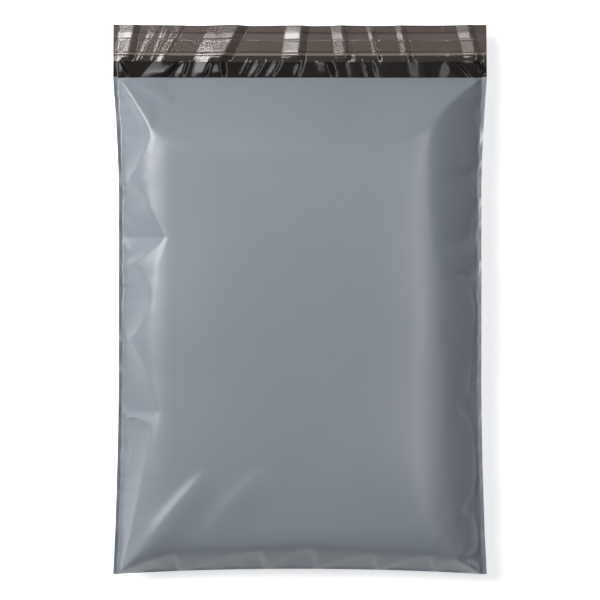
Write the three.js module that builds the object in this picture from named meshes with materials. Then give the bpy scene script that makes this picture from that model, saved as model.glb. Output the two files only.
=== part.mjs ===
// Poly mailer bag, filled, lying on its back with its mouth shut.
// Millimetres, +Z up: X runs across the bag, +Y runs towards the lip, and the floor is at Z = 0.
// One film makes the bag: it folds at the bottom, is welded up both sides, and its back panel runs
// on past the mouth as the lip. A strip of adhesive lies on the lip, under a release liner.
import * as THREE from 'three';

// The bag as cut, and as it stands once filled.
const BAG_WIDTH = 356;
const WAIST_WIDTH = 345;
const BAG_LENGTH = 524;
const LIP_LENGTH = 51;
const SEAM_MARGIN = 5;
const FOLD_HOLLOW = 5.1;

// Heights above the floor.
const SEAM_HEIGHT = 22;
const CROWN_HEIGHT = 54;
const LIP_DROOP = 5;

// Thicknesses. The film is drawn thicker than its real 0.06 mm, so that it holds as a solid.
const FILM = 0.4;
const STRIP_THICKNESS = 0.3;
const GAP = 0.3;

// The strip and the liner, each measured from the lip's free edge.
const ADHESIVE_START = 8.5;
const ADHESIVE_WIDTH = 21;
const LINER_START = 0.6;
const LINER_WIDTH = 34.5;

// How far in from each edge the filling goes on rising, and how much of the back lies flat.
const SIDE_REACH = WAIST_WIDTH / 2;
const FOLD_REACH = 170;
const MOUTH_REACH = 210;
const FLOOR_CONTACT = 1.35;

// Grid divisions, and the short ramp that stands for the cut edge of the front panel.
const COLUMNS = 28;
const LIP_ROWS = 3;
const BODY_ROWS = 32;
const CUT_EDGE = 0.2;

const LIP_EDGE = BAG_LENGTH / 2;
const MOUTH = LIP_EDGE - LIP_LENGTH;
const CORNERS = -BAG_LENGTH / 2;
const WAIST_TOP = 95;
const WAIST_BOTTOM = -58;

// Half the bag's width: parallel at the waist, flaring to the lip and to the bottom corners.
function halfWidth(y) {
  const flare = (BAG_WIDTH - WAIST_WIDTH) / 2;
  if (y > WAIST_TOP) {
    const climb = Math.min((y - WAIST_TOP) / (MOUTH - WAIST_TOP), 1);
    return WAIST_WIDTH / 2 + flare * (1 - Math.cos((climb * Math.PI) / 2));
  }
  const fall = Math.max((WAIST_BOTTOM - y) / (WAIST_BOTTOM - CORNERS), 0);
  return WAIST_WIDTH / 2 + flare * fall ** 2;
}

// The bottom fold bows inwards between its corners. Across runs from -1 to 1.
function foldLine(across) {
  return CORNERS + FOLD_HOLLOW * (1 - across ** 2);
}

// A rounded shoulder: 0 at the edge, 1 from its reach inwards.
function shoulder(distance, reach) {
  const inwards = THREE.MathUtils.clamp(distance / reach, 0, 1);
  return (1 - (1 - inwards) ** 2.4) ** 0.7;
}

// How full the bag is at a point, from 0 at its edges to 1 at its crown.
function fullness(x, y, across) {
  const side = shoulder(halfWidth(y) - SEAM_MARGIN - Math.abs(x), SIDE_REACH);
  const fold = shoulder(y - foldLine(across), FOLD_REACH);
  const mouth = shoulder(MOUTH - y, MOUTH_REACH);
  return side * fold * mouth;
}

// Height of the back film's outer face along the lip, which droops a little to its free edge.
function lipUnderside(y) {
  const out = Math.max((y - MOUTH) / LIP_LENGTH, 0);
  return SEAM_HEIGHT - FILM - LIP_DROOP * out ** 2;
}

// Spaces divisions from -1 to 1, closer together towards both ends.
function crowdedEnds(index, count) {
  return Math.sin((index / count - 0.5) * Math.PI);
}

// Where a column of the grid stands, as a share of the half width: the outer two are the margins.
function columnPlace(column, y) {
  const half = halfWidth(y);
  if (column === 0) return -half;
  if (column === COLUMNS) return half;
  return (half - SEAM_MARGIN) * crowdedEnds(column - 1, COLUMNS - 2);
}

// Where a row of the grid stands: from the bottom fold to the mouth, then along the lip.
function rowPlace(row, across) {
  if (row > BODY_ROWS) {
    const out = (row - BODY_ROWS - 1) / LIP_ROWS;
    return MOUTH + CUT_EDGE + (LIP_LENGTH - CUT_EDGE) * out;
  }
  const along = (crowdedEnds(row, BODY_ROWS) + 1) / 2;
  return THREE.MathUtils.lerp(foldLine(across), MOUTH, along);
}

// The bag: both panels, the fold, the welded margins and the lip are one film.
function makeFilmPouch() {
  const rows = BODY_ROWS + 1 + LIP_ROWS;
  const geometry = new THREE.BoxGeometry(1, 1, 1, COLUMNS, rows, 1);
  const points = geometry.getAttribute('position');
  for (let index = 0; index < points.count; index += 1) {
    const column = Math.round((points.getX(index) + 0.5) * COLUMNS);
    const row = Math.round((points.getY(index) + 0.5) * rows);
    const across = crowdedEnds(column, COLUMNS);
    const y = rowPlace(row, across);
    const x = columnPlace(column, y);
    const full = fullness(x, y, across);
    const isTop = points.getZ(index) > 0;
    const frontPanel = row > BODY_ROWS ? 0 : FILM;
    const front = lipUnderside(y) + FILM + frontPanel + (CROWN_HEIGHT - SEAM_HEIGHT - FILM) * full;
    const back = lipUnderside(y) * (1 - Math.min(full * FLOOR_CONTACT, 1));
    points.setXYZ(index, x, y, isTop ? front : back);
  }
  geometry.computeVertexNormals();
  return geometry;
}

// A thin band that follows the lip from side to side, lifted off its inner face.
function makeLipBand(start, width, lift) {
  const geometry = new THREE.BoxGeometry(BAG_WIDTH, width, STRIP_THICKNESS, 4, 6, 1);
  const points = geometry.getAttribute('position');
  const middle = LIP_EDGE - start - width / 2;
  for (let index = 0; index < points.count; index += 1) {
    const y = points.getY(index) + middle;
    const floor = lipUnderside(y) + FILM + lift;
    points.setY(index, y);
    points.setZ(index, points.getZ(index) > 0 ? floor + STRIP_THICKNESS : floor);
  }
  geometry.computeVertexNormals();
  return geometry;
}

function addPiece(name, geometry, color, roughness) {
  const material = new THREE.MeshStandardMaterial({ color, roughness, metalness: 0 });
  const piece = new THREE.Mesh(geometry, material);
  piece.name = name;
  mailer.add(piece);
}

const mailer = new THREE.Group();
const adhesiveLift = GAP;
const linerLift = GAP + STRIP_THICKNESS + GAP;
addPiece('film_pouch', makeFilmPouch(), 0x868e97, 0.38);
addPiece('adhesive_strip', makeLipBand(ADHESIVE_START, ADHESIVE_WIDTH, adhesiveLift), 0x6b5d4f, 0.25);
addPiece('release_liner', makeLipBand(LINER_START, LINER_WIDTH, linerLift), 0x9a948e, 0.2);

export default mailer;
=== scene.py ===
"""Poly mailer bag: a filled film pouch with its lip, adhesive strip and embossed release liner.

The pouch is one film: grey outside, black inside. Its front panel is shaped inwards from its seams.
Its outline, inflated as cloth, gives the back panel and the front's fine wrinkles. Then the margins,
the open mouth and the lip are joined on. Everything is in metres.
"""

import math

import bmesh
import bpy
import numpy as np
from bpy.props import FloatProperty, FloatVectorProperty, IntProperty, PointerProperty
from bpy.types import Operator, Panel, PropertyGroup
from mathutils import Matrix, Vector


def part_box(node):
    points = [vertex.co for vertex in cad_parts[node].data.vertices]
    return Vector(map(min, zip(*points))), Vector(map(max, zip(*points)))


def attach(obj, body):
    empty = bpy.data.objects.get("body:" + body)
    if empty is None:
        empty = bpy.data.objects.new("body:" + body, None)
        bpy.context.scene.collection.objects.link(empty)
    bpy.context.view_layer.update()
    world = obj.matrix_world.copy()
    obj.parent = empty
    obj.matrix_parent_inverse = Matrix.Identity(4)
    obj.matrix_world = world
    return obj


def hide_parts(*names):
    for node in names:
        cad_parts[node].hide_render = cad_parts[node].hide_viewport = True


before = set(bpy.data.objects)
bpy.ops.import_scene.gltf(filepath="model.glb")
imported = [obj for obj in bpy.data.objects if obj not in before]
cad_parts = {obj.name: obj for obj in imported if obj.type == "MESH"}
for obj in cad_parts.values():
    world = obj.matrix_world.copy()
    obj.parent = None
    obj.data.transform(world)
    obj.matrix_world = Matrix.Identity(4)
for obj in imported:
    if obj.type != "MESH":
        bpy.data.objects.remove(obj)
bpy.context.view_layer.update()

bl_info = {
    "name": "Poly Mailer Bag",
    "version": (1, 0, 0),
    "blender": (4, 5, 0),
    "location": "3D View > Sidebar > Mailer",
    "description": "Makes a filled mailer bag with its lip, adhesive strip and release liner",
    "category": "Add Mesh",
}

MM = 0.001
POUCH_LOW, POUCH_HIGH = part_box("film_pouch")
STRIP_LOW, STRIP_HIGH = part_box("adhesive_strip")
LINER_LOW, LINER_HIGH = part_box("release_liner")

HALF_LIP = POUCH_HIGH.x
LIP_EDGE = POUCH_HIGH.y
CORNERS = POUCH_LOW.y
CROWN = POUCH_HIGH.z
# How far in from each edge the filling goes on rising. The flat top begins near the mouth at
# MOUTH_BOX, on the left and on the right.
SIDE_REACH = 172 * MM
FOLD_REACH = 170 * MM
MOUTH_REACH = 210 * MM
MOUTH_BOX = (75 * MM, 41 * MM)
# How much higher the right weld is at mid length, and how deep the back would hang if there were no
# floor, in heights of the welds.
RIGHT_LIFT = 5.5 * MM
FLOOR_CONTACT = 1.3

# The filling is boxy: near each seam the film runs flat up to a shoulder, and pinches in the seam
# break that flank into facets, with small puckers along the weld. All in millimetres. Places are
# measured along Y at the sides and along X at the fold.
# shoulder: place and distance from the weld. facets: two ends, the deepest place between them,
# the depth there, and how the facet's border runs to each end, from 0.3, blunt, to 1, straight.
# puckers: the same without the borders. box: how far in the filling's flat top begins. bulge: under
# 1, the flank bulges. hollow: over 1, its facets sag towards the weld. sag: how far they are pressed
# down as a whole. softness: of the shoulder.
LEFT_SEAM = {
    "shoulder": (
        (-261, 4), (-220, 13), (-172, 22), (-134, 30), (-106, 37), (-82, 31), (-39, 25), (3, 30),
        (33, 33), (58, 43), (85, 28), (114, 21), (155, 31), (185, 28), (217, 28),
    ),
    "facets": (
        (260, 155, 110, 31, 0.3, 0.7), (110, 58, 33, 43, 0.42, 0.6), (33, 3, -38, 30, 0.3, 0.45),
        (-38, -106, -113, 37, 0.5, 0.3), (-113, -125, -261, 31, 0.25, 0.75),
    ),
    "puckers": (
        (209, 199, 190, 6), (190, 182, 174, 4), (174, 142, 110, 5), (110, 104, 99, 4),
        (99, 61, 33, 5), (33, 23, 12, 9), (12, -10, -38, 6), (-38, -50, -67, 3),
        (-67, -98, -113, 8), (-113, -144, -170, 11), (-170, -176, -182, 6), (-182, -220, -258, 7),
    ),
    "box": 50, "bulge": 0.7, "hollow": 1.1, "sag": 0.0, "softness": 0.03,
}
RIGHT_SEAM = {
    "shoulder": (
        (-261, 8), (-200, 20), (-140, 24), (-60, 25), (0, 26), (30, 30), (60, 34), (120, 36),
        (180, 36), (217, 34),
    ),
    "facets": (
        (209, 199, 191, 5, 0.5, 0.5), (191, 178, 122, 6, 0.4, 0.6), (132, 119, 103, 9, 0.8, 0.6),
        (103, 56, 44, 10, 0.6, 0.6), (44, 23, -5, 9, 0.6, 0.6), (-5, -96, -156, 8, 0.6, 0.7),
        (-156, -201, -228, 7, 0.8, 0.8), (-228, -245, -262, 5, 0.7, 0.9),
    ),
    "puckers": (
        (205, 198, 191, 3), (185, 160, 140, 5), (140, 128, 118, 4), (100, 80, 62, 6),
        (40, 25, 8, 6), (-10, -40, -70, 5), (-75, -110, -150, 6), (-160, -185, -215, 5),
        (-230, -244, -256, 4),
    ),
    "box": 72, "bulge": 0.9, "hollow": 1.0, "sag": 0.6, "softness": 0.16,
}
FOLD_SEAM = {
    "shoulder": (
        (-175, 3), (-150, 12), (-118, 21), (-60, 21), (10, 24), (70, 20), (125, 19), (160, 11),
        (175, 3),
    ),
    "facets": (
        (-173, -120, -116, 21, 0.7, 0.3), (-116, -38, -34, 23, 0.9, 0.3),
        (-34, 10, 15, 27, 0.8, 0.3), (15, 68, 72, 18, 0.8, 0.3), (72, 121, 128, 18, 0.8, 0.4),
        (128, 143, 173, 15, 0.6, 0.8),
    ),
    "puckers": (
        (-172, -138, -120, 6), (-116, -95, -84, 8), (-82, -57, -48, 7), (-48, -41, -34, 5),
        (-29, -5, 8, 6), (17, 33, 48, 7), (48, 59, 68, 5), (72, 95, 110, 7), (110, 116, 124, 5),
        (128, 148, 164, 6),
    ),
    "box": 46, "bulge": 0.95, "hollow": 1.15, "sag": 0.0, "softness": 0.10,
}
# Long soft ridges in the front panel: from and to (x, y), half width and height, in millimetres.
# Each is steeper on the left of its run.
RIDGES = (
    ((-142, 160), (-171, 213), 5, 1.8), ((-120, 187), (-168, 215), 5, 1.3),
    ((-168, -258), (-88, -162), 7.5, 2.8), ((-88, -218), (-34, -160), 8, 1.4),
    ((170, -262), (150, -230), 2.5, 0.7), ((170, -262), (140, -240), 2.5, 0.7),
    ((-171, -261), (-134, -242), 3, 0.9),
)

# Creases across the lip, which climb evenly and then drop off steeply: where the climb starts and
# ends, and its slant, in millimetres, then its share of the usual climb. First those at the liner.
LINER_CREASES = (
    (-175, -161, 0.2, 1.0), (-149, -146, 0.46, 1.0), (-136.5, -134, 0.38, 1.0),
    (-128, -122, 0.58, 1.0), (-94, -67, 0.5, 0.9), (-16, 0, 0.12, 1.0), (31, 42, -0.12, 1.0),
    (45.5, 48, -0.1, 0.8), (66, 71, -0.2, 1.0), (93, 100, -0.2, 1.0), (136, 138, -0.05, 0.8),
    (152, 165, -0.25, 1.0),
)
# Then those in the bare film between the liner and the mouth.
FILM_CREASES = (
    (-177, -169, -0.5, 1.0), (-146, -126, 0.9, 0.8), (-118, -111, 0.3, 1.0), (-102, -90, 0.3, 1.0),
    (-88, -76, -0.1, 1.0), (-56, -53, 0.5, 1.0), (-47, -41, 0.6, 1.0), (-30, -24, 0.6, 1.0),
    (-6, -1, 0.3, 1.0), (15, 27, -0.3, 0.9), (41, 43.5, -0.2, 1.0), (56, 59, -0.3, 1.0),
    (65, 69, -0.3, 0.9), (82, 104, -0.2, 0.12), (112, 134, 0.3, 0.14), (144, 154, -0.8, 0.5),
    (158, 172, -0.9, 1.0),
)


def length(name, description, size):
    """A length property. Its default is given in millimetres."""
    return FloatProperty(name=name, description=description, default=size * MM, unit="LENGTH")


def amount(name, description, default):
    """A plain number property."""
    return FloatProperty(name=name, description=description, default=default)


def count(name, description, default):
    """A whole number property."""
    return IntProperty(name=name, description=description, default=default)


def tint(name, description, color):
    """A colour property."""
    return FloatVectorProperty(
        name=name, description=description, default=color, subtype="COLOR", size=3)


class PouchSettings(PropertyGroup):
    """Sizes, fill and colours of the film pouch."""

    waist: length("Waist", "Width where the filling draws the bag in most", 345)
    waist_top: length("Waist Top", "Where the sides start to flare towards the lip", 95)
    waist_bottom: length("Waist Bottom", "Where the sides start to flare towards the corners", -58)
    lip_length: length("Lip Length", "Back panel past the mouth edge", 51)
    fold_hollow: length("Fold Hollow", "How far the bottom fold bows in at its middle", 5.1)
    edge_hollow: length("Lip Hollow", "How far the lip's free edge bows in at its middle", 1.0)
    margin: length("Seam Margin", "Film outside each side weld", 3.4)
    seam_height: length("Seam Height", "Height of the welds above the floor", 22)
    droop: length("Lip Droop", "How far the lip's free edge hangs below the welds", 3.2)
    film: length("Film", "Thickness of one layer of film", 0.12)
    lip_climb: amount("Lip Climb", "Slope of the creases' long sides on the lip", 0.25)
    mouth_depth: count("Mouth Depth", "Rows of film seen into at the mouth", 9)
    columns: count("Columns", "Cloth divisions across", 80)
    rows: count("Rows", "Cloth divisions along", 112)
    fine_columns: count("Fine Columns", "Divisions across both panels", 190)
    fine_rows: count("Fine Rows", "Divisions along the front panel", 280)
    back_rows: count("Back Rows", "Divisions along the back panel", 70)
    lip_divisions: count("Lip Rows", "Divisions along the lip", 40)
    wrinkling: amount("Wrinkling", "Share of the cloth's fine wrinkles kept", 0.35)
    frames: count("Frames", "Steps of the inflation", 26)
    pressure: amount("Pressure", "Pressure of the filling", 8.0)
    slack: amount("Slack", "Extra film at the middle of a panel", 0.018)
    seam_slack: amount("Seam Slack", "Extra film along the welds", 0.034)
    bending: amount("Bending", "Stiffness of the film", 0.15)
    grey: tint("Grey", "Outer face of the film", (0.197, 0.219, 0.247))
    black: tint("Black", "Inner face of the film", (0.010, 0.0085, 0.0075))


class LinerSettings(PropertyGroup):
    """Sizes and colours of the adhesive strip and its release liner."""

    strip_lift: length("Strip Lift", "Adhesive strip above the film", 0.04)
    strip_thickness: length("Strip Thickness", "Thickness of the adhesive", 0.10)
    liner_lift: length("Liner Lift", "Liner above the film", 0.24)
    liner_thickness: length("Liner Thickness", "Thickness of the liner", 0.08)
    pitch: length("Emboss Pitch", "Spacing of the diamonds", 2.3)
    stud: length("Emboss Height", "Height of a diamond", 0.22)
    outer_band: length("Outer Band", "Embossed band at the liner's free edge", 8)
    smooth_band: length("Smooth Band", "Plain band between the embossed ones", 6.1)
    inner_band: length("Inner Band", "Embossed band over the adhesive", 12.4)
    fold_band: length("Fold Band", "Pale band along the adhesive's inner edge", 2.7)
    adhesive: tint("Adhesive", "The adhesive over the black film", (0.050, 0.036, 0.027))
    liner: tint("Liner", "The liner's embossed bands", (0.075, 0.060, 0.052))
    smooth_liner: tint("Smooth Liner", "The liner's plain band", (0.135, 0.108, 0.106))
    # This colour also paints the highlight along the ridge between the plain and the inner band.
    pale_band_and_ridge_highlight: tint("Pale Liner", "The pale band and the ridge", (0.21, 0.17, 0.15))
    bare_liner: tint("Bare Liner", "The liner past the adhesive", (0.049, 0.038, 0.030))


class StageSettings(PropertyGroup):
    """Floor, lamps and camera."""

    camera_height: length("Camera Height", "Camera above the floor", 2200)
    view_width: length("View Width", "Width seen at the height of the welds", 571.8)
    floor: tint("Floor", "Colour of the floor", (0.86, 0.86, 0.86))


# ---- nodes


class Wire:
    """One output of a node, so that node maths reads as ordinary arithmetic."""

    def __init__(self, nodes, socket):
        self.nodes = nodes
        self.socket = socket

    def other(self, output):
        """Another output of the same node."""
        return Wire(self.nodes, self.socket.node.outputs[output])

    def maths(self, operation, *values):
        settings = {"operation": operation}
        return self.nodes.node("ShaderNodeMath", settings, dict(enumerate(values)))

    def __add__(self, other):
        return self.maths("ADD", self, other)

    def __radd__(self, other):
        return self.maths("ADD", other, self)

    def __sub__(self, other):
        return self.maths("SUBTRACT", self, other)

    def __rsub__(self, other):
        return self.maths("SUBTRACT", other, self)

    def __mul__(self, other):
        return self.maths("MULTIPLY", self, other)

    def __rmul__(self, other):
        return self.maths("MULTIPLY", other, self)

    def __truediv__(self, other):
        return self.maths("DIVIDE", self, other)

    def __mod__(self, other):
        return self.maths("MODULO", self, other)

    def rounded(self):
        return self.maths("ROUND", self)

    def smooth_step(self, low, high):
        settings = {"interpolation_type": "SMOOTHSTEP"}
        return self.nodes.node("ShaderNodeMapRange", settings, {0: self, 1: low, 2: high})


class Nodes:
    """A node tree under construction."""

    def __init__(self, tree):
        self.tree = tree

    def node(self, kind, settings=None, inputs=None, output=0):
        """Adds a node, sets it, feeds its inputs with values or wires, and gives one output."""
        node = self.tree.nodes.new(kind)
        for key, value in (settings or {}).items():
            setattr(node, key, value)
        for key, value in (inputs or {}).items():
            if isinstance(value, (Wire, list)):
                for wire in value if isinstance(value, list) else [value]:
                    self.tree.links.new(wire.socket, node.inputs[key])
            else:
                node.inputs[key].default_value = value
        return Wire(self, node.outputs[output])


class Finish(Nodes):
    """A material under construction."""

    def __init__(self, name):
        self.material = bpy.data.materials.new(name)
        self.material.use_nodes = True
        super().__init__(self.material.node_tree)
        self.tree.nodes.clear()

    def place(self):
        return self.node("ShaderNodeTexCoord", output="Object")

    def noise(self, scale, detail=2.0, roughness=0.5, stretch=(1, 1, 1)):
        vector = self.node("ShaderNodeMapping", {}, {"Vector": self.place(), "Scale": stretch})
        inputs = {"Vector": vector, "Scale": scale, "Detail": detail, "Roughness": roughness}
        return self.node("ShaderNodeTexNoise", {}, inputs)

    def mix_color(self, share, first, second):
        inputs = {0: share, 6: first, 7: second}
        return self.node("ShaderNodeMix", {"data_type": "RGBA"}, inputs, output=2)

    def bump(self, height, distance):
        inputs = {"Height": height, "Distance": distance, "Strength": 1.0}
        return self.node("ShaderNodeBump", {}, inputs)

    def principled(self, inputs):
        """Ends the tree in a Principled shader and gives the finished material."""
        shader = self.node("ShaderNodeBsdfPrincipled", {}, inputs)
        ending = self.tree.nodes.new("ShaderNodeOutputMaterial")
        self.tree.links.new(shader.socket, ending.inputs["Surface"])
        return self.material


def tinted(color, by):
    """A colour made lighter or darker, with its alpha."""
    return (*(min(channel * by, 1.0) for channel in color), 1.0)


def grey_film_finish(settings):
    """Satin outer face: faint melt mottling, and a haze that varies the gloss a little."""
    finish = Finish("grey_film")
    mottle = finish.noise(9.0, 3.0, 0.55)
    haze = finish.noise(38.0, 4.0, 0.6, stretch=(1.0, 0.35, 1.0))
    color = finish.mix_color(mottle, tinted(settings.grey, 0.96), tinted(settings.grey, 1.05))
    rough = 0.28 + 0.05 * haze
    inputs = {"Base Color": color, "Roughness": rough, "IOR": 1.5}
    return finish.principled(inputs)


def black_film_finish(settings):
    """Glossy inner face."""
    finish = Finish("black_film")
    haze = finish.noise(60.0, 3.0, 0.6)
    color = finish.mix_color(haze, tinted(settings.black, 0.8), tinted(settings.black, 1.6))
    rough = 0.14 + 0.08 * haze
    relief = finish.bump(haze, 0.00015)
    inputs = {"Base Color": color, "Roughness": rough, "Normal": relief, "IOR": 1.3}
    return finish.principled(inputs)


def adhesive_finish(settings):
    """Tacky amber adhesive, a little uneven in thickness."""
    finish = Finish("adhesive")
    flow = finish.noise(55.0, 3.0, 0.6, stretch=(0.3, 1.0, 1.0))
    color = finish.mix_color(flow, tinted(settings.adhesive, 0.75), tinted(settings.adhesive, 1.3))
    rough = 0.16 + 0.12 * flow
    relief = finish.bump(flow, 0.0002)
    inputs = {"Base Color": color, "Roughness": rough, "Normal": relief}
    return finish.principled(inputs)


def band_edges(settings):
    """Where the liner's bands meet, measured inwards from the lip's free edge."""
    widths = (settings.outer_band, settings.smooth_band, settings.inner_band, settings.fold_band)
    return tuple(sum(widths[:number + 1]) for number in range(len(widths)))


def liner_finish(settings, hollow):
    """Clear release film in five bands: embossed, plain, embossed, a pale fold and a bare edge."""
    finish = Finish("liner_film")
    place = finish.node("ShaderNodeSeparateXYZ", {}, {0: finish.place()})
    across = place * (1 / HALF_LIP)
    inwards = (LIP_EDGE - place.other("Y") - hollow * (1 - across * across)) * (1 / MM)
    outer, smooth, inner, fold = (edge / MM for edge in band_edges(settings))

    def within(low, high, soft=0.25):
        """1 between two distances from the lip's free edge, in millimetres, and 0 elsewhere."""
        past_high = inwards.smooth_step(high - soft, high + soft)
        return inwards.smooth_step(low - soft, low + soft) * (1 - past_high)

    haze = finish.noise(70.0, 3.0, 0.6)
    streaks = finish.noise(160.0, 3.0, 0.6, stretch=(0.08, 1.0, 1.0))
    color = finish.mix_color(haze, tinted(settings.liner, 0.85), tinted(settings.liner, 1.15))
    plain = finish.mix_color(
        streaks, tinted(settings.smooth_liner, 0.6), tinted(settings.smooth_liner, 1.35))
    # The studs are painted lighter than the film: a painted highlight for the glints their facets
    # catch.
    stud = finish.node("ShaderNodeAttribute", {"attribute_name": "stud"}, output="Fac")
    color = finish.mix_color(stud, color, tinted(settings.liner, 2.3))
    color = finish.mix_color(within(outer, smooth), color, plain)
    # A thin line along the ridge at the plain band's inner edge is painted pale in places: a painted
    # highlight.
    ridge = within(smooth - 0.45, smooth + 0.45) * (0.25 + 0.75 * haze.smooth_step(0.35, 0.6))
    pale = finish.mix_color(
        streaks, tinted(settings.pale_band_and_ridge_highlight, 0.7), tinted(settings.pale_band_and_ridge_highlight, 1.3))
    color = finish.mix_color(ridge + within(inner, fold), color, pale)
    past_fold = inwards.smooth_step(fold - 0.2, fold + 0.2)
    color = finish.mix_color(past_fold, color, tinted(settings.bare_liner, 1))
    rough = 0.09 + 0.07 * haze
    coat = 0.15 + 0.4 * within(outer, smooth) + 0.25 * inwards.smooth_step(smooth, smooth + 0.4)
    alpha = 0.62 + 0.12 * haze
    relief = finish.bump(haze, 0.0001)
    inputs = {
        "Base Color": color, "Roughness": rough, "Alpha": alpha, "Normal": relief,
        "Coat Weight": coat, "Coat Roughness": 0.05,
    }
    return finish.principled(inputs)


# ---- the bag's outline


def half_width(y, settings):
    """Half the bag's width at y, margins included."""
    flare = HALF_LIP - settings.waist / 2
    mouth = LIP_EDGE - settings.lip_length
    climb = np.clip((y - settings.waist_top) / (mouth - settings.waist_top), 0, 1)
    fall = np.clip((settings.waist_bottom - y) / (settings.waist_bottom - CORNERS), 0, 1)
    return settings.waist / 2 + flare * (1 - np.cos(climb * np.pi / 2)) + flare * fall**2


def fold_line(across, settings):
    return CORNERS + settings.fold_hollow * (1 - across**2)


def shoulder(distance, reach):
    """0 at an edge, rising steeply and then levelling to 1 at its reach."""
    inwards = np.clip(distance / reach, 0, 1)
    return (1 - (1 - inwards) ** 2.4) ** 0.7


def soft_min(first, second, softness):
    """The lower of two heights, with the corner between them rounded."""
    near = np.clip(1 - np.abs(first - second) / softness, 0, 1)
    return np.minimum(first, second) - near**2 * softness / 4


def seam_wave(x, y):
    """The slow rise and fall of the plane that the welds lie in."""
    along = 0.9 * np.sin(17 * y + 0.7) * np.sign(x) + 0.5 * np.sin(41 * y + 2.1)
    waves = along * np.minimum(np.abs(x) / (120 * MM), 1) + 0.6 * np.sin(23 * x + 1.2)
    to_right = np.clip(x / HALF_LIP, 0, 1) ** 2 * np.clip(1 - (y / LIP_EDGE) ** 2, 0, 1)
    return MM * waves + RIGHT_LIFT * to_right


def creases(places, x, y, middle, climb):
    """Height of slanted creases across the lip: each climbs evenly, then drops off steeply."""
    total = np.zeros_like(x)
    for low_side, high_side, slant, share in places:
        width = (high_side - low_side) * MM
        from_start = x - low_side * MM - slant * (y - middle)
        drop = 1 - (from_start - width) / (2 * MM + 0.3 * width)
        total = total + climb * share * width * np.clip(np.minimum(from_start / width, drop), 0, 1)
    return total


def lip_height(x, y, settings):
    """Middle of the lip's film, from the mouth to its free edge."""
    mouth = LIP_EDGE - settings.lip_length
    out = np.clip((y - mouth) / settings.lip_length, 0, 1)
    sag = settings.droop * out**2
    liner_low = LINER_LOW.y
    at_liner = 1 / (1 + np.exp(-(y - liner_low - 1 * MM) / (1.2 * MM)))
    on_liner = creases(LINER_CREASES, x, y, (liner_low + LIP_EDGE) / 2, settings.lip_climb)
    on_film = creases(FILM_CREASES, x, y, (liner_low + mouth) / 2, settings.lip_climb)
    step = np.clip((y - mouth) / (6 * MM), 0, 1)
    clear_of_mouth = 0.5 + 0.5 * step**2 * (3 - 2 * step)
    relief = on_liner * at_liner + on_film * (1 - at_liner) * clear_of_mouth
    near_weld = np.clip((HALF_LIP - settings.margin - np.abs(x)) / (5 * MM), 0, 1)
    return settings.seam_height + seam_wave(x, y) - sag + relief * (0.3 + 0.7 * near_weld)


# ---- the panels' shape


def facet_border(facets, along, least):
    """How far the facets beside an edge reach inwards, at each place along it."""
    border = np.full_like(along, least)
    for start, deepest, end, depth, *bends in facets:
        first_bend, second_bend = bends or (0.6, 0.6)
        from_start = np.clip((along / MM - start) / (deepest - start), 0, 1) ** first_bend
        from_end = np.clip((along / MM - end) / (deepest - end), 0, 1) ** second_bend
        border = np.maximum(border, depth * MM * soft_min(from_start, from_end, 0.08))
    return border


def looseness(seam, y):
    """0 at the pinches in a side weld, 1 between them."""
    return np.clip(facet_border(seam["puckers"], y, 0) / (4 * MM), 0, 1)


def boxy_shoulder(distance, reach, box):
    """Steep to the box's shoulder, then a slow rise to 1 at the panel's middle."""
    return 0.65 * shoulder(distance, box * MM) + 0.35 * shoulder(distance, reach)


def creased_shoulder(distance, reach, seam, along):
    """A shoulder whose foot is cut flat, then into facets, then into puckers along the weld."""
    places, depths = np.transpose(seam["shoulder"]) * MM
    bulge, hollow = seam["bulge"], seam["hollow"]
    flank = np.interp(along, places, depths)
    facet = np.minimum(facet_border(seam["facets"], along, 1.6 * MM), 0.97 * flank)
    pucker = np.minimum(facet_border(seam["puckers"], along, 0.5 * MM), 0.8 * facet)
    height = boxy_shoulder(flank, reach, seam["box"])
    rounded = boxy_shoulder(distance, reach, seam["box"])
    pressed = 1 - seam["sag"] * np.clip(facet / flank * 2.5, 0, 1)
    low = pressed * height * (facet / flank) ** bulge
    if seam["sag"]:
        past_facet = (distance - facet) / (flank - facet)
        straight = low + (height - low) * np.clip(past_facet, 0, 4) ** bulge
        rise = np.where(distance < facet, low * (distance / facet) ** hollow,
                        soft_min(rounded, straight, seam["softness"]))
    else:
        straight = height * (distance / flank) ** bulge
        rise = soft_min(rounded, straight, seam["softness"])
        rise = soft_min(rise, low * (distance / facet) ** hollow, 0.012)
    low = low * (pucker / facet) ** hollow
    return soft_min(rise, low * (distance / pucker) ** (hollow + 0.3), 0.006)


def ridge_relief(x, y):
    """Height of the long soft ridges, each fading out towards both of its ends."""
    total = np.zeros_like(x)
    for start, end, width, height in RIDGES:
        run = np.array(end, float) - start
        span = np.hypot(*run)
        run /= span
        along = ((x / MM - start[0]) * run[0] + (y / MM - start[1]) * run[1]) / span
        away = (x / MM - start[0]) * run[1] - (y / MM - start[1]) * run[0]
        fade = np.clip(4 * along * (1 - along), 0, 1) ** 0.7
        broad = width * (0.5 + 0.6 * fade) * np.where(away > 0, 2.2, 1)
        total += height * MM * fade * np.exp(-((away / broad) ** 2))
    return total


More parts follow.
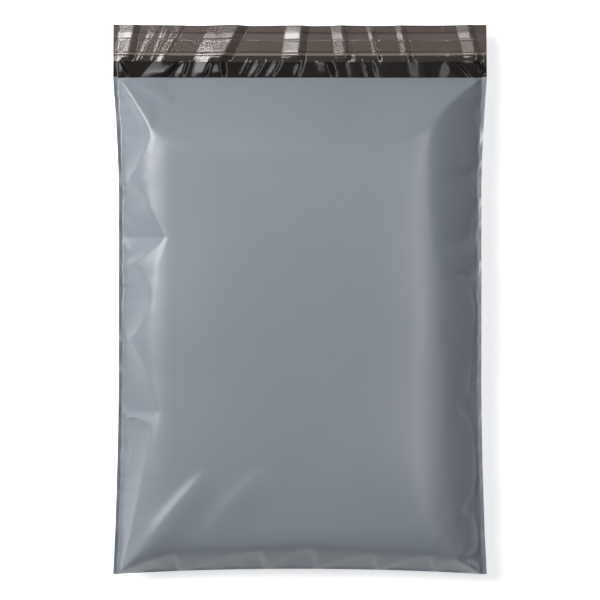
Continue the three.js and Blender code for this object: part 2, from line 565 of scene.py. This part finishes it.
def filled_height(x, y, edges, turned=False):
    """Rise of a filled panel off the plane of its seams, as a share of its crown."""
    seams = (RIGHT_SEAM, LEFT_SEAM) if turned else (LEFT_SEAM, RIGHT_SEAM)
    left = creased_shoulder(edges["left"], SIDE_REACH, seams[0], y)
    right = creased_shoulder(edges["right"], SIDE_REACH, seams[1], y)
    fold = creased_shoulder(edges["fold"], FOLD_REACH, FOLD_SEAM, x)
    side = np.minimum(left, right)
    to_right = np.clip((x - 50 * MM) / (120 * MM), 0, 1)
    box = MOUTH_BOX[0] + (MOUTH_BOX[1] - MOUTH_BOX[0]) * to_right**2 * (3 - 2 * to_right)
    near_mouth = 1 - (1 - np.clip(edges["mouth"] / box, 0, 1)) ** 1.8
    far_from_mouth = 1 - (1 - np.clip(edges["mouth"] / MOUTH_REACH, 0, 1)) ** 2.1
    mouth = 0.75 * near_mouth + 0.25 * far_from_mouth
    hipped = soft_min(soft_min(side, fold, 0.06), mouth, 0.05)
    return 0.3 * side * fold * mouth + 0.7 * hipped


def weld_bead(y, edges):
    """A narrow roll of film along the inside of each weld, gone at its pinches."""
    total = np.zeros_like(y)
    for seam, edge, width in ((LEFT_SEAM, "left", 2.6), (RIGHT_SEAM, "right", 0.7)):
        loose = looseness(seam, y)
        wide = width * MM * (0.45 + 0.55 * loose) * (1 + 0.2 * np.sin(190 * y))
        swell = 1 - (1 - np.clip(edges[edge] / wide, 0, 1)) ** 2
        total += 1.05 * wide / 2.6 * swell * np.exp(-edges[edge] / (7 * MM)) * (0.3 + 0.7 * loose)
    return total


def weld_wobble(x, y, edges):
    """How far in the welds are drawn at their pinches, fading out over a few millimetres."""
    drawn = np.zeros_like(x)
    for seam, edge, side in ((LEFT_SEAM, "left", 1), (RIGHT_SEAM, "right", -1)):
        loose = looseness(seam, y)
        waver = 0.35 * np.sin(130 * y) + 0.25 * np.sin(310 * y + 1)
        drawn += side * MM * (1.3 * (1 - loose) + waver) * np.exp(-edges[edge] / (5 * MM))
    return drawn


def sheet_faces(index, flip=False):
    """Triangles over a grid of point numbers. They face up unless flipped."""
    one, two, three, four = index[:-1, :-1], index[1:, :-1], index[1:, 1:], index[:-1, 1:]
    pairs = np.stack([one, two, three, one, three, four], -1).reshape(-1, 3)
    return pairs[:, ::-1] if flip else pairs


def panel_plan(across, along, settings):
    """Points of a panel in its drawn-in outline, and their distances from each edge."""
    across, along = np.meshgrid(across, along, indexing="ij")
    mouth = LIP_EDGE - settings.lip_length
    fold = fold_line(across, settings)
    y = fold + (mouth - fold) * along
    half = half_width(y, settings) - settings.margin
    x = across * half
    edges = {"left": x + half, "right": half - x, "fold": y - fold, "mouth": mouth - y}
    return x, y, edges


def inflate(front, back, slack_share, settings):
    """Inflates two panels as cloth, held along the outline that they share."""
    index = np.arange(front[..., 0].size).reshape(front.shape[:2])
    rim = np.ones_like(index, bool)
    rim[1:-1, 1:-1] = False
    below = index.copy()
    below[~rim] = index.size + np.arange((~rim).sum())
    points = np.concatenate([front.reshape(-1, 3), back[~rim]])
    shares = np.concatenate([slack_share.ravel(), slack_share[~rim]])
    faces = np.concatenate([sheet_faces(index), sheet_faces(below, flip=True)])

    mesh = bpy.data.meshes.new("inflating")
    mesh.from_pydata(points.tolist(), [], faces.tolist())
    cloth = bpy.data.objects.new("inflating", mesh)
    bpy.context.scene.collection.objects.link(cloth)
    held = cloth.vertex_groups.new(name="held")
    held.add([int(i) for i in index[rim]], 1.0, "REPLACE")
    slack = cloth.vertex_groups.new(name="slack")
    for number, share in enumerate(shares):
        slack.add([number], float(share), "REPLACE")

    modifier = cloth.modifiers.new("film", "CLOTH")
    film = modifier.settings
    film.quality = 6
    film.mass = 0.1
    film.air_damping = 1.0
    film.tension_stiffness = film.compression_stiffness = 60
    film.shear_stiffness = 30
    film.bending_stiffness = settings.bending
    film.tension_damping = film.compression_damping = film.shear_damping = 5
    film.use_pressure = True
    film.uniform_pressure_force = settings.pressure
    film.vertex_group_mass = "held"
    film.vertex_group_shrink = "slack"
    film.shrink_min = -settings.slack
    film.shrink_max = -settings.seam_slack
    film.effector_weights.gravity = 0
    modifier.collision_settings.use_collision = False
    modifier.collision_settings.use_self_collision = False
    scene = bpy.context.scene
    modifier.point_cache.frame_start = 1
    modifier.point_cache.frame_end = settings.frames
    for step in range(1, settings.frames + 1):
        scene.frame_set(step)

    evaluated = cloth.evaluated_get(bpy.context.evaluated_depsgraph_get())
    moved = np.empty(len(points) * 3, np.float32)
    evaluated.data.vertices.foreach_get("co", moved)
    moved = moved.reshape(-1, 3).astype(float)
    bpy.data.objects.remove(cloth)
    bpy.data.meshes.remove(mesh)
    scene.frame_set(1)
    return moved[index], moved[below]


def resampled(grid, places, axis):
    """Values of an even grid at places from 0 to 1 along an axis, on cubics through its points."""
    grid = np.moveaxis(grid, axis, 0)
    wide = np.concatenate([2 * grid[:1] - grid[1:2], grid, 2 * grid[-1:] - grid[-2:-1]])
    spot = np.clip(places, 0, 1) * (len(grid) - 1)
    first = np.minimum(spot.astype(int), len(grid) - 2)
    t = (spot - first).reshape(-1, *[1] * (grid.ndim - 1))
    a, b, c, d = (wide[first + step] for step in range(4))
    cubic = t * (c - a + t * (2 * a - 5 * b + 4 * c - d + t * (3 * (b - c) + d - a)))
    return np.moveaxis(b + 0.5 * cubic, 0, axis)


def smoothed(grid, spread):
    """A grid blurred along both axes. A straight slope comes through unchanged."""
    reach = int(3 * spread)
    weights = np.exp(-0.5 * (np.arange(-reach, reach + 1) / spread) ** 2)
    weights /= weights.sum()
    for axis in (0, 1):
        rows = np.moveaxis(grid, axis, 0)
        before = 2 * rows[0] - rows[reach:0:-1]
        after = 2 * rows[-1] - rows[-2:-2 - reach:-1]
        wide = np.concatenate([before, rows, after])
        total = sum(w * wide[k:k + len(rows)] for k, w in enumerate(weights))
        grid = np.moveaxis(total, 0, axis)
    return grid


def settled(height, floor, softness):
    """Heights above the floor, with what would go through it pressed flat on it."""
    above = height - floor
    return floor + (above + np.sqrt(above**2 + softness**2)) / 2


def cloth_wrinkles(settings):
    """Inflates the bag as cloth. Gives the front's fine wrinkles and the back's whole shape."""
    across = np.linspace(-1, 1, settings.columns + 1)
    along = np.linspace(0, 1, settings.rows + 1)
    x, y, edges = panel_plan(across, along, settings)
    rise = 9 * MM * filled_height(x, y, edges)
    sink = 9 * MM * filled_height(x, y, edges, turned=True)
    nearest = np.minimum(np.minimum(edges["left"], edges["right"]), edges["fold"])
    front = np.stack([x, y, rise], -1)
    back = np.stack([x, y, -sink], -1)
    front, back = inflate(front, back, np.exp(-nearest / (35 * MM)), settings)
    height = front[..., 2]
    return height - smoothed(height, 2.6), back


def make_panels(settings):
    """Front and back panels of the filled bag, as fine grids of points over the same columns."""
    even = 2 * np.linspace(0, 1, settings.fine_columns + 1) - 1
    across = 0.35 * even + 0.65 * np.sin(even * np.pi / 2)
    along = np.linspace(0, 1, settings.fine_rows + 1)
    x, y, edges = panel_plan(across, along, settings)
    rise = filled_height(x, y, edges)
    rise = (CROWN - settings.seam_height) * rise / rise.max() + ridge_relief(x, y)
    rise = rise + weld_bead(y, edges)
    x = x + weld_wobble(x, y, edges)
    back_along = np.sin(np.linspace(0, 1, settings.back_rows + 1) * np.pi - np.pi / 2) / 2 + 0.5
    back_x, back_y, back_edges = panel_plan(across, back_along, settings)
    lowest = FLOOR_CONTACT * settings.seam_height
    wrinkles, cloth_back = cloth_wrinkles(settings)
    wrinkles = resampled(resampled(wrinkles, (across + 1) / 2, 0), along, 1)
    side_fade = np.exp(-edges["left"] / (16 * MM)) + 0.8 * np.exp(-edges["right"] / (16 * MM))
    near_fold = 0.8 * np.exp(-edges["fold"] / (18 * MM))
    end_fade = near_fold + 0.2 * np.exp(-edges["mouth"] / (25 * MM))
    held = np.clip(np.minimum(edges["left"], edges["right"]) / (6 * MM), 0, 1)
    rise = rise + settings.wrinkling * wrinkles * np.minimum(side_fade + end_fade, 1) * held
    cloth_back = resampled(resampled(cloth_back, (across + 1) / 2, 0), back_along, 1)
    back_x, back_y = cloth_back[..., 0], cloth_back[..., 1]
    sink = lowest * cloth_back[..., 2] / cloth_back[..., 2].min()
    back_x = back_x + weld_wobble(back_x, back_y, back_edges)
    rise = np.maximum(rise, 0)
    rise = rise * np.minimum((CROWN - settings.seam_height) / rise.max(), 1)
    front = np.stack([x, y, settings.seam_height + seam_wave(x, y) + rise], -1)
    level = settings.seam_height + seam_wave(back_x, back_y)
    flattened = settled(level - np.maximum(sink, 0), 0.3 * MM, 2.5 * MM)
    back = np.stack([back_x, back_y, np.minimum(flattened, level)], -1)
    return front, back


# ---- the film as one closed surface

# Columns of film outside each weld, in millimetres from it, how far the weld itself stands up, and
# how far the front panel stands off the lip at the mouth.
MARGIN_STEPS = (0.4, 1.0, 2.0, 3.4)
BEAD = 0.35 * MM
MOUTH_GAP = 1.7 * MM
# The front panel's cut edge curls down: rows short of the edge, and their drop, in millimetres.
HEM_ROWS = ((1.1, 0.0), (0.8, 0.05), (0.45, 0.17), (0.15, 0.36), (0.0, 0.52))


def with_margins(panel, settings):
    """Adds the margin's columns outside both welds."""
    columns = []
    for side, weld in ((-1, panel[0]), (1, panel[-1])):
        seam = LEFT_SEAM if side < 0 else RIGHT_SEAM
        kink = 1 - looseness(seam, weld[:, 1])
        added = []
        for step in MARGIN_STEPS:
            share = step / MARGIN_STEPS[-1]
            point = weld.copy()
            point[:, 0] += share * (side * half_width(weld[:, 1], settings) - weld[:, 0])
            ripple = 0.35 * np.sin(210 * weld[:, 1] + side) + 0.3 * np.sin(97 * weld[:, 1])
            point[:, 2] += MM * share * (1.6 - 0.6 * side + ripple - 0.9 * kink)
            added.append(point)
        columns.append(np.stack(added))
    left, right = columns
    return np.concatenate([left[::-1], panel, right])


def lip_rows(settings, last_row):
    """The lip's film, from just past the mouth to its free edge, as rows of columns."""
    half = np.abs(last_row[-1, 0])
    x = last_row[:, 0]
    across = x / half
    edge = LIP_EDGE - settings.edge_hollow * (1 - across**2) * (1 + 0.25 * np.sin(19 * across))
    rows = []
    for number in range(1, settings.lip_divisions + 1):
        share = number / settings.lip_divisions
        y = last_row[:, 1] + (edge - last_row[:, 1]) * share
        rows.append(np.stack([x, y, lip_height(x, y, settings)], -1))
    return np.stack(rows, 1)


def with_hem(front):
    """Ends the front panel in a cut edge that curls down over the lip."""
    mouth = front[0, -1, 1]
    rows = []
    for short, drop in HEM_ROWS:
        row = front[:, -1].copy()
        row[:, 1] = mouth - short * MM
        row[:, 2] -= drop * MM
        rows.append(row)
    return np.concatenate([front[:, :-1], np.stack(rows, 1)], 1)


def zipped(upper, lower, points):
    """Triangles between two chains of points that both run along Y."""
    triangles = []
    i = j = 0
    while i < len(upper) - 1 or j < len(lower) - 1:
        lower_done = j == len(lower) - 1
        upper_open = i < len(upper) - 1
        if lower_done or (upper_open and points[upper[i + 1], 1] <= points[lower[j + 1], 1]):
            triangles.append((upper[i], upper[i + 1], lower[j]))
            i += 1
        else:
            triangles.append((upper[i], lower[j + 1], lower[j]))
            j += 1
    return triangles


def raised(grid, by):
    moved = grid.copy()
    moved[..., 2] += by
    return moved


def lift_at_mouth(grid, lift, reach):
    """Lifts the columns of a panel by their own amount at the mouth, fading inwards."""
    inside = (grid[0, -1, 1] - grid[..., 1]) / reach
    grid[..., 2] += lift[:, None] * np.exp(-inside)


def film_surface(settings):
    """Points, faces and their colours for the whole film: one closed skin, open only as a mouth."""
    front, back = make_panels(settings)
    x, mouth = front[:, -1, 0], front[:, -1, 1]
    clear = np.clip((x[-1] - np.abs(x)) / (8 * MM), 0, 1)
    over = 0.5 * creases(FILM_CREASES, x, mouth, (LINER_LOW.y + mouth[0]) / 2, settings.lip_climb)
    lift_at_mouth(back, over * clear, 6 * MM)
    spread = np.hanning(25) / np.hanning(25).sum()
    even = np.convolve(np.pad(over, 12, mode="edge"), spread, "valid")
    lift_at_mouth(front, (even + MOUTH_GAP) * clear, 9 * MM)
    front = with_margins(with_hem(front), settings)
    back = with_margins(back, settings)
    lip = lip_rows(settings, back[:, -1])
    lip[:, 0, 2] = (lip[:, 0, 2] + lip[:, 1, 2] + back[:, -1, 2]) / 3
    steps = len(MARGIN_STEPS)
    film = settings.film
    for sheet in (front, lip):
        sheet[steps, :, 2] += BEAD
        sheet[-1 - steps, :, 2] += BEAD

    rows = front.shape[1]
    depth = settings.mouth_depth
    inner_front = raised(front[:, :-1 - depth:-1], 0.1 * film)
    inner_back = raised(back[:, -depth:], -0.1 * film)
    for edge in (slice(0, steps + 1), slice(-1 - steps, None)):
        inner_front[edge] = front[edge, -1:]
        inner_back[edge] = front[edge, -1:]
    top = np.concatenate([raised(front, film), inner_front, inner_back, raised(lip, -0.1 * film)], 1)
    bottom = np.concatenate([raised(back, -film), raised(lip, -film)], 1)

    upper = np.arange(top[..., 0].size).reshape(top.shape[:2])
    lower = upper.size + np.arange(bottom[..., 0].size).reshape(bottom.shape[:2])
    points = np.concatenate([top.reshape(-1, 3), bottom.reshape(-1, 3)])
    faces = [*sheet_faces(upper)]
    chain = np.repeat(np.arange(upper.shape[1] - 1), 2)
    colors = [int(black) for black in np.tile(chain >= rows, upper.shape[0] - 1)]
    faces += [*sheet_faces(lower, flip=True)]
    for one in range(upper.shape[0] - 1):
        two = one + 1
        faces.append((lower[one, 0], lower[two, 0], upper[two, 0], upper[one, 0]))
        faces.append((upper[one, -1], upper[two, -1], lower[two, -1], lower[one, -1]))
    mouth_end = rows + 2 * depth - 1
    kept = list(range(rows)) + list(range(mouth_end, upper.shape[1]))
    for column in (0, -1):
        faces += zipped(upper[column, kept], lower[column], points)
    colors += [0] * (len(faces) - len(colors))
    return points, faces, colors


def plain_piece(name, points, faces, materials, colors=None, sharp=math.radians(50)):
    """A closed, smooth-shaded mesh object whose faces point outwards."""
    mesh = bpy.data.meshes.new(name)
    mesh.from_pydata(np.asarray(points).tolist(), [], [[int(i) for i in face] for face in faces])
    for material in materials:
        mesh.materials.append(material)
    if colors is not None:
        mesh.polygons.foreach_set("material_index", colors)
    shape = bmesh.new()
    shape.from_mesh(mesh)
    bmesh.ops.remove_doubles(shape, verts=shape.verts, dist=2e-6)
    bmesh.ops.dissolve_degenerate(shape, edges=shape.edges, dist=1e-7)
    bmesh.ops.recalc_face_normals(shape, faces=shape.faces)
    shape.to_mesh(mesh)
    shape.free()
    mesh.shade_smooth()
    mesh.set_sharp_from_angle(angle=sharp)
    piece = bpy.data.objects.new(name, mesh)
    bpy.context.scene.collection.objects.link(piece)
    return piece


# ---- the bands on the lip


def lip_top(x, y, settings):
    """Upper face of the lip's film, and how much its free edge bows in at x."""
    bow = settings.edge_hollow * (1 - (x / HALF_LIP) ** 2)
    return lip_height(x, y - bow, settings) - 0.1 * settings.film, bow


def lip_band(low_y, high_y, lift, thickness, columns, row_pitch, settings, relief=None):
    """A thin closed band that lies on the lip from side to side, with relief given by its place."""
    rows = int((high_y - low_y) / row_pitch)
    x, y = np.meshgrid(
        np.linspace(-HALF_LIP, HALF_LIP, columns + 1), np.linspace(low_y, high_y, rows + 1),
        indexing="ij")
    height, bow = lip_top(x, y, settings)
    low = np.stack([x, y - bow, height + lift], -1)
    if relief is not None:
        low[..., 2] += relief(x, y)
    top = raised(low, thickness)
    upper = np.arange(x.size).reshape(x.shape)
    lower = upper + x.size
    faces = [*sheet_faces(upper), *sheet_faces(lower, flip=True)]
    rim = [*upper[:, 0], *upper[-1, 1:], *upper[-2::-1, -1], *upper[0, -2:0:-1]]
    for number, one in enumerate(rim):
        two = rim[(number + 1) % len(rim)]
        faces.append((one + x.size, two + x.size, two, one))
    return np.concatenate([top.reshape(-1, 3), low.reshape(-1, 3)]), faces


def embossing_tree(bands, settings, material):
    """Geometry nodes that stand rows of small diamonds on bands of the liner."""
    tree = bpy.data.node_groups.new("liner_embossing", "GeometryNodeTree")
    face = tree.interface
    face.new_socket("Liner", in_out="INPUT", socket_type="NodeSocketGeometry")
    for name in ("Pitch", "Stud Height", "Width"):
        face.new_socket(name, in_out="INPUT", socket_type="NodeSocketFloat")
    face.new_socket("Embossed Liner", in_out="OUTPUT", socket_type="NodeSocketGeometry")

    nodes = Nodes(tree)
    liner = nodes.node("NodeGroupInput", output="Liner")
    pitch = liner.other("Pitch")
    width = liner.other("Width")

    def straight_down(output):
        """What a ray straight down from a point finds on the liner."""
        inputs = {"Target Geometry": liner, "Ray Direction": (0, 0, -1), "Ray Length": 1.0}
        return nodes.node("GeometryNodeRaycast", {"data_type": "FLOAT_VECTOR"}, inputs, output)

    cone = nodes.node("GeometryNodeMeshCone", {"fill_type": "NGON"}, {
        "Vertices": 4, "Side Segments": 1, "Radius Top": 0.02 * MM, "Radius Bottom": pitch * 0.37,
        "Depth": liner.other("Stud Height")})
    # Marks the studs, so that the liner's material paints them lighter as a painted highlight.
    stud = nodes.node("GeometryNodeStoreNamedAttribute", {"data_type": "FLOAT", "domain": "POINT"}, {
        "Geometry": cone, "Name": "stud", "Value": 1.0})
    sheets = []
    for low, high in bands:
        half_pitch = settings.pitch / 2
        row_count = int((high - low) / half_pitch) - 1
        grid = nodes.node("GeometryNodeMeshGrid", {}, {
            "Size X": width, "Size Y": (row_count - 1) * half_pitch,
            "Vertices X": (width / pitch).rounded() + 1.0, "Vertices Y": row_count})
        odd_row = nodes.node("GeometryNodeInputIndex") % float(row_count) % 2.0
        offset = nodes.node("ShaderNodeCombineXYZ", {}, {
            "X": odd_row * (pitch * 0.5), "Y": (low + high) / 2, "Z": 0.5})
        spread = nodes.node("GeometryNodeSetPosition", {}, {"Geometry": grid, "Offset": offset})
        kept = nodes.node("GeometryNodeDeleteGeometry", {"domain": "POINT"}, {
            "Geometry": spread, "Selection": 1.0 - straight_down("Is Hit")})
        capture = tree.nodes.new("GeometryNodeCaptureAttribute")
        capture.capture_items.new("VECTOR", "Slope")
        tree.links.new(kept.socket, capture.inputs[0])
        tree.links.new(straight_down("Hit Normal").socket, capture.inputs[1])
        above = Wire(nodes, capture.outputs[0])
        landed = nodes.node("GeometryNodeSetPosition", {}, {
            "Geometry": above, "Position": straight_down("Hit Position")})
        turn = nodes.node("FunctionNodeAlignRotationToVector", {"axis": "Z"}, {
            "Vector": above.other(1)})
        sheets.append(nodes.node("GeometryNodeInstanceOnPoints", {}, {
            "Points": landed, "Instance": stud, "Rotation": turn}))
    joined = nodes.node("GeometryNodeJoinGeometry", {}, {0: [*sheets, liner]})
    real = nodes.node("GeometryNodeRealizeInstances", {}, {"Geometry": joined})
    painted = nodes.node("GeometryNodeSetMaterial", {}, {"Geometry": real, "Material": material})
    leave = tree.nodes.new("NodeGroupOutput")
    tree.links.new(painted.socket, leave.inputs[0])
    return tree


def embossed(liner, bands, settings, material):
    """Applies the embossing nodes to the liner and gives back one plain mesh object."""
    tree = embossing_tree(bands, settings, material)
    modifier = liner.modifiers.new("embossing", "NODES")
    modifier.node_group = tree
    sizes = {"Pitch": settings.pitch, "Stud Height": settings.stud, "Width": 2 * HALF_LIP - 2 * MM}
    for item in tree.interface.items_tree:
        if item.item_type == "SOCKET" and item.in_out == "INPUT" and item.name in sizes:
            modifier[item.identifier] = sizes[item.name]
    evaluated = liner.evaluated_get(bpy.context.evaluated_depsgraph_get())
    mesh = bpy.data.meshes.new_from_object(evaluated)
    liner.modifiers.clear()
    liner.data = mesh
    mesh.materials.clear()
    mesh.materials.append(material)
    return liner


# ---- operators

# Area lamps aimed at the bag: name, place, size and watts.
LAMPS = (
    ("key_lamp", (-1.32, 0.62, 1.22), (1.05, 1.0), 33),
    ("soft_lamp", (-0.90, 0.58, 1.60), (1.0, 0.7), 13),
    ("right_lamp", (0.55, 0.1, 1.82), (1.2, 0.30), 7),
)
FLOOR_HALF = 12.0


class MAILER_OT_stage(Operator):
    """Sets the camera above the bag, the pale floor and the soft lamps"""

    bl_idname = "mailer.stage"
    bl_label = "Stage"

    def execute(self, context):
        settings = context.scene.mailer_stage
        pouch = context.scene.mailer_pouch
        data = bpy.data.cameras.new("camera")
        camera = bpy.data.objects.new("camera", data)
        context.scene.collection.objects.link(camera)
        context.scene.camera = camera
        camera.location = (0, -0.7 * MM, settings.camera_height)
        distance = settings.camera_height - pouch.seam_height
        data.lens = data.sensor_width * distance / settings.view_width
        data.clip_end = 50

        floor_finish = Finish("pale_floor")
        tone = floor_finish.noise(0.6, 1.0)
        color = floor_finish.mix_color(tone, tinted(settings.floor, 0.99), tinted(settings.floor, 1))
        material = floor_finish.principled({
            "Base Color": color, "Roughness": 0.9, "Emission Color": (1, 1, 1, 1),
            "Emission Strength": 0.55})
        corners = ((-1, -1), (1, -1), (1, 1), (-1, 1))
        points = [(FLOOR_HALF * x, FLOOR_HALF * y, 0) for x, y in corners]
        floor = plain_piece("floor", points, [(0, 1, 2, 3)], [material])

        world = bpy.data.worlds.new("studio")
        context.scene.world = world
        world.use_nodes = True
        backdrop = world.node_tree.nodes["Background"]
        backdrop.inputs["Color"].default_value = (0.95, 0.97, 1.0, 1)
        backdrop.inputs["Strength"].default_value = 0.12

        for name, place, size, watts in LAMPS:
            data = bpy.data.lights.new(name, "AREA")
            data.shape = "RECTANGLE"
            data.size, data.size_y = size
            data.energy = watts
            lamp = bpy.data.objects.new(name, data)
            lamp.location = place
            lamp.rotation_euler = (-Vector(place)).to_track_quat("-Z", "Y").to_euler()
            context.scene.collection.objects.link(lamp)
        context.scene.view_settings.view_transform = "Standard"
        return {"FINISHED"}


class MAILER_OT_pouch(Operator):
    """Makes the film pouch with its welds, fold, mouth and lip"""

    bl_idname = "mailer.pouch"
    bl_label = "Film Pouch"

    def execute(self, context):
        settings = context.scene.mailer_pouch
        points, faces, colors = film_surface(settings)
        materials = [grey_film_finish(settings), black_film_finish(settings)]
        pouch = plain_piece("mailer_film", points, faces, materials, colors)
        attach(pouch, "root")
        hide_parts("film_pouch")
        return {"FINISHED"}


class MAILER_OT_adhesive(Operator):
    """Lays the adhesive strip on the lip"""

    bl_idname = "mailer.adhesive"
    bl_label = "Adhesive Strip"

    def execute(self, context):
        pouch = context.scene.mailer_pouch
        settings = context.scene.mailer_liner
        points, faces = lip_band(
            STRIP_LOW.y, STRIP_HIGH.y, settings.strip_lift, settings.strip_thickness, 240, 1.5 * MM,
            pouch)
        strip = plain_piece("lip_adhesive", points, faces, [adhesive_finish(settings)])
        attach(strip, "root")
        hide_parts("adhesive_strip")
        return {"FINISHED"}


class MAILER_OT_liner(Operator):
    """Lays the release liner over the adhesive and embosses its two bands"""

    bl_idname = "mailer.liner"
    bl_label = "Release Liner"

    def execute(self, context):
        pouch = context.scene.mailer_pouch
        settings = context.scene.mailer_liner
        edges = band_edges(settings)

        def relief(x, y):
            """Loose bubbles, the ridge between two bands and the fold's low welt."""
            inwards = LIP_EDGE - y
            bubbles = (0.5 + 0.5 * np.sin(150 * x + 60 * y)) * (0.5 + 0.5 * np.sin(67 * x))
            from_ridge = (inwards - edges[1]) / (0.6 * MM)
            from_welt = (inwards - (edges[2] + edges[3]) / 2) / (1.3 * MM)
            ridge = 0.30 * np.exp(-(from_ridge**2))
            return MM * (0.25 * bubbles + ridge + 0.45 * np.exp(-(from_welt**4)))

        points, faces = lip_band(
            LINER_LOW.y, LINER_HIGH.y, settings.liner_lift, settings.liner_thickness, 300, 0.7 * MM,
            pouch, relief)
        material = liner_finish(settings, pouch.edge_hollow)
        liner = plain_piece("liner_film", points, faces, [material])
        bands = ((LIP_EDGE - edges[0], LINER_HIGH.y), (LIP_EDGE - edges[2], LIP_EDGE - edges[1]))
        embossed(liner, bands, settings, material)
        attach(liner, "root")
        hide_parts("release_liner")
        return {"FINISHED"}


class MAILER_PT_panel(Panel):
    """Lists the steps that make the mailer bag"""

    bl_idname = "MAILER_PT_panel"
    bl_label = "Poly Mailer Bag"
    bl_space_type = "VIEW_3D"
    bl_region_type = "UI"
    bl_category = "Mailer"

    def draw(self, context):
        for step in STEPS:
            self.layout.operator(step.bl_idname)
        for group in ("mailer_pouch", "mailer_liner", "mailer_stage"):
            settings = getattr(context.scene, group)
            for name in settings.bl_rna.properties.keys():
                if name not in ("rna_type", "name"):
                    self.layout.prop(settings, name)


STEPS = (MAILER_OT_stage, MAILER_OT_pouch, MAILER_OT_adhesive, MAILER_OT_liner)
GROUPS = {
    "mailer_pouch": PouchSettings, "mailer_liner": LinerSettings, "mailer_stage": StageSettings,
}
CLASSES = (*GROUPS.values(), *STEPS, MAILER_PT_panel)


def register():
    for kind in CLASSES:
        bpy.utils.register_class(kind)
    for name, group in GROUPS.items():
        setattr(bpy.types.Scene, name, PointerProperty(type=group))


def unregister():
    for name in GROUPS:
        delattr(bpy.types.Scene, name)
    for kind in reversed(CLASSES):
        bpy.utils.unregister_class(kind)


def main():
    register()
    for step in STEPS:
        group, name = step.bl_idname.split(".")
        getattr(getattr(bpy.ops, group), name)()


if __name__ == "__main__":
    main()
